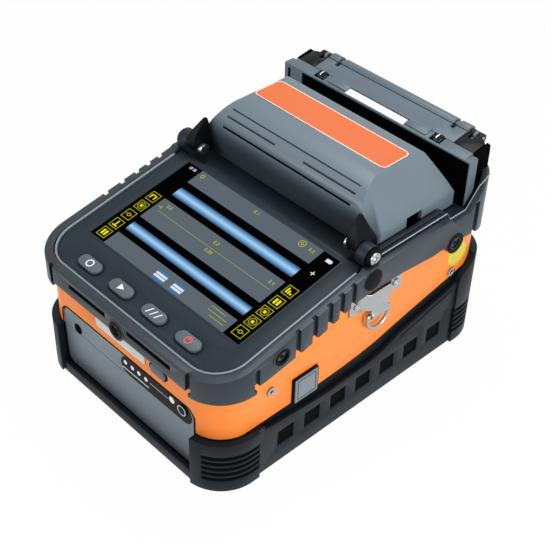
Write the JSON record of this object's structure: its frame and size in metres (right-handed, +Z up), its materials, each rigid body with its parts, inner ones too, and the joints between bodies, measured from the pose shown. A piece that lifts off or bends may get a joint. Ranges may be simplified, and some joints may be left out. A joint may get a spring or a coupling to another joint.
{
  "type": "fiber fusion splicer",
  "caption": "Portable optical fibre fusion splicer with tilted screen panel, keys, hinged wind cover, rear tube heater, drawer battery, rubber bumpers and strap rings.",
  "frame": {"origin": "centre of the base, on the plane that the rubber feet rest on", "axes": "+Z up, +Y towards the heater at the rear, -Y towards the keys and the battery, +X to the user's right"},
  "size_m": [0.1428, 0.1917, 0.1183],
  "materials": {
    "orange_shell": "satin orange moulding",
    "black_plastic": "matt black moulding",
    "boot_rubber": "soft matt rubber",
    "foot_rubber": "matt rubber",
    "frame_rubber": "soft matt grey rubber",
    "dark_steel": "dull screw steel",
    "bright_steel": "bright nickel",
    "deck_grey": "satin grey moulding",
    "panel_slate": "fine matt slate",
    "rim_silver": "satin light grey",
    "sheet_metal": "bright sheet",
    "screen_glass": "polished black glass",
    "circuit_board": "solder mask",
    "potted_black": "moulded black",
    "cast_alloy": "bead-blasted casting",
    "ceramic": "fired ceramic",
    "electrode_metal": "ground rod",
    "black_anodised": "black anodised",
    "cover_grey": "satin blue-grey moulding",
    "label_orange": "printed orange label",
    "lamp_white": "milky lamp cover",
    "heater_grey": "satin grey moulding",
    "label_white": "plain white label",
    "gloss_black": "glossy black moulding",
    "battery_grey": "satin blue-grey moulding",
    "cell_wrap": "shrink wrap",
    "window_black": "glossy black window",
    "key_grey": "matt silicone key",
    "strip_pale": "pale diffuser",
    "port_grey": "grey rubber flap",
    "sticker_green": "plain yellow-green paper"
  },
  "bodies": {
    "chassis": {"base_tray": "black_plastic", "body_shell": "orange_shell", "rubber_boot": "boot_rubber", "feet": "foot_rubber", "bumper_frame": "frame_rubber", "frame_screws": "dark_steel", "side_screws": "bright_steel", "splice_deck": "deck_grey", "front_panel": "panel_slate", "panel_rim": "rim_silver", "lcd_module": "sheet_metal", "screen_glass": "screen_glass", "key_board": "circuit_board", "battery_bay": "black_plastic", "main_board": "circuit_board", "arc_module": "potted_black", "side_ports": "potted_black", "fan_housing": "black_plastic", "hinge_axles": "bright_steel", "strap_brackets": "bright_steel", "arc_base": "cast_alloy", "v_groove": "ceramic", "electrodes": "electrode_metal", "electrode_clamps": "black_plastic", "objectives": "black_anodised", "camera_boards": "circuit_board", "feed_motors": "sheet_metal", "heater_base": "heater_grey", "heater_plate": "sheet_metal", "heater_pin": "bright_steel", "light_strip": "strip_pale", "seal_sticker": "sticker_green"},
    "wind_cover": {"wind_cover": "cover_grey", "cover_label": "label_orange", "cover_lamp": "lamp_white", "clamp_arms": "cast_alloy"},
    "heater_lid": {"heater_lid": "heater_grey", "heater_label": "label_white"},
    "heater_clamp_left": {"heater_clamp_left": "gloss_black"},
    "heater_clamp_right": {"heater_clamp_right": "gloss_black"},
    "stage_left": {"stage_left": "cast_alloy"},
    "stage_right": {"stage_right": "cast_alloy"},
    "holder_lid_left": {"holder_lid_left": "black_anodised"},
    "holder_lid_right": {"holder_lid_right": "black_anodised"},
    "battery": {"battery_case": "battery_grey", "battery_cells": "cell_wrap", "battery_board": "circuit_board", "battery_window": "window_black"},
    "battery_test_key": {"battery_test_key": "window_black"},
    "battery_latch": {"battery_latch": "key_grey"},
    "port_cover": {"port_cover": "port_grey"},
    "d_ring_left": {"d_ring_left": "bright_steel"},
    "d_ring_right": {"d_ring_right": "bright_steel"},
    "fan_rotor": {"fan_rotor": "black_plastic"},
    "key_circle": {"key_circle": "key_grey"},
    "key_arrow": {"key_arrow": "key_grey"},
    "key_bars": {"key_bars": "key_grey"},
    "key_power": {"key_power": "key_grey"}
  },
  "joints": [
    {"name": "cover_hinge", "type": "hinge", "parent": "chassis", "child": "wind_cover", "pos_m": [0, 0.00257, 0.09326], "axis": [1, 0, 0], "range_deg": [0, 95]},
    {"name": "heater_lid_hinge", "type": "hinge", "parent": "chassis", "child": "heater_lid", "pos_m": [0, 0.0917, 0.1132], "axis": [-1, 0, 0], "range_deg": [0, 100]},
    {"name": "heater_clamp_left_hinge", "type": "hinge", "parent": "chassis", "child": "heater_clamp_left", "pos_m": [-0.054, 0.0917, 0.1132], "axis": [-1, 0, 0], "range_deg": [0, 100]},
    {"name": "heater_clamp_right_hinge", "type": "hinge", "parent": "chassis", "child": "heater_clamp_right", "pos_m": [0.054, 0.0917, 0.1132], "axis": [-1, 0, 0], "range_deg": [0, 100]},
    {"name": "stage_left_feed", "type": "slide", "parent": "chassis", "child": "stage_left", "axis": [1, 0, 0], "range_m": [0, 0.004]},
    {"name": "stage_right_feed", "type": "slide", "parent": "chassis", "child": "stage_right", "axis": [-1, 0, 0], "range_m": [0, 0.004]},
    {"name": "holder_left_hinge", "type": "hinge", "parent": "stage_left", "child": "holder_lid_left", "pos_m": [-0.0295, 0.0514, 0.0921], "axis": [-1, 0, 0], "range_deg": [0, 85]},
    {"name": "holder_right_hinge", "type": "hinge", "parent": "stage_right", "child": "holder_lid_right", "pos_m": [0.0295, 0.0514, 0.0921], "axis": [-1, 0, 0], "range_deg": [0, 85]},
    {"name": "battery_slide", "type": "slide", "parent": "chassis", "child": "battery", "axis": [0, -1, 0], "range_m": [0, 0.07]},
    {"name": "battery_test_press", "type": "slide", "parent": "battery", "child": "battery_test_key", "axis": [0, 1, 0], "range_m": [0, 0.0005], "stiffness_N_per_m": 900},
    {"name": "battery_latch_press", "type": "slide", "parent": "chassis", "child": "battery_latch", "axis": [0, 1, 0], "range_m": [0, 0.0008], "stiffness_N_per_m": 900},
    {"name": "port_cover_hinge", "type": "hinge", "parent": "chassis", "child": "port_cover", "pos_m": [0.0664, -0.03785, 0.0318], "axis": [0, 1, 0], "range_deg": [0, 110]},
    {"name": "d_ring_left_swing", "type": "hinge", "parent": "chassis", "child": "d_ring_left", "pos_m": [-0.0694, 0.00705, 0.06], "axis": [0, 1, 0], "range_deg": [-8, 140]},
    {"name": "d_ring_right_swing", "type": "hinge", "parent": "chassis", "child": "d_ring_right", "pos_m": [0.0694, 0.00705, 0.06], "axis": [0, -1, 0], "range_deg": [-8, 140]},
    {"name": "fan_spin", "type": "hinge", "parent": "chassis", "child": "fan_rotor", "pos_m": [0, 0.0814, 0.038], "axis": [0, 1, 0], "continuous": true},
    {"name": "key_circle_press", "type": "slide", "parent": "chassis", "child": "key_circle", "axis": [0, 0.1917, -0.9815], "range_m": [0, 0.0008], "stiffness_N_per_m": 900},
    {"name": "key_arrow_press", "type": "slide", "parent": "chassis", "child": "key_arrow", "axis": [0, 0.1917, -0.9815], "range_m": [0, 0.0008], "stiffness_N_per_m": 900},
    {"name": "key_bars_press", "type": "slide", "parent": "chassis", "child": "key_bars", "axis": [0, 0.1917, -0.9815], "range_m": [0, 0.0008], "stiffness_N_per_m": 900},
    {"name": "key_power_press", "type": "slide", "parent": "chassis", "child": "key_power", "axis": [0, 0.1917, -0.9815], "range_m": [0, 0.0008], "stiffness_N_per_m": 900}
  ]
}
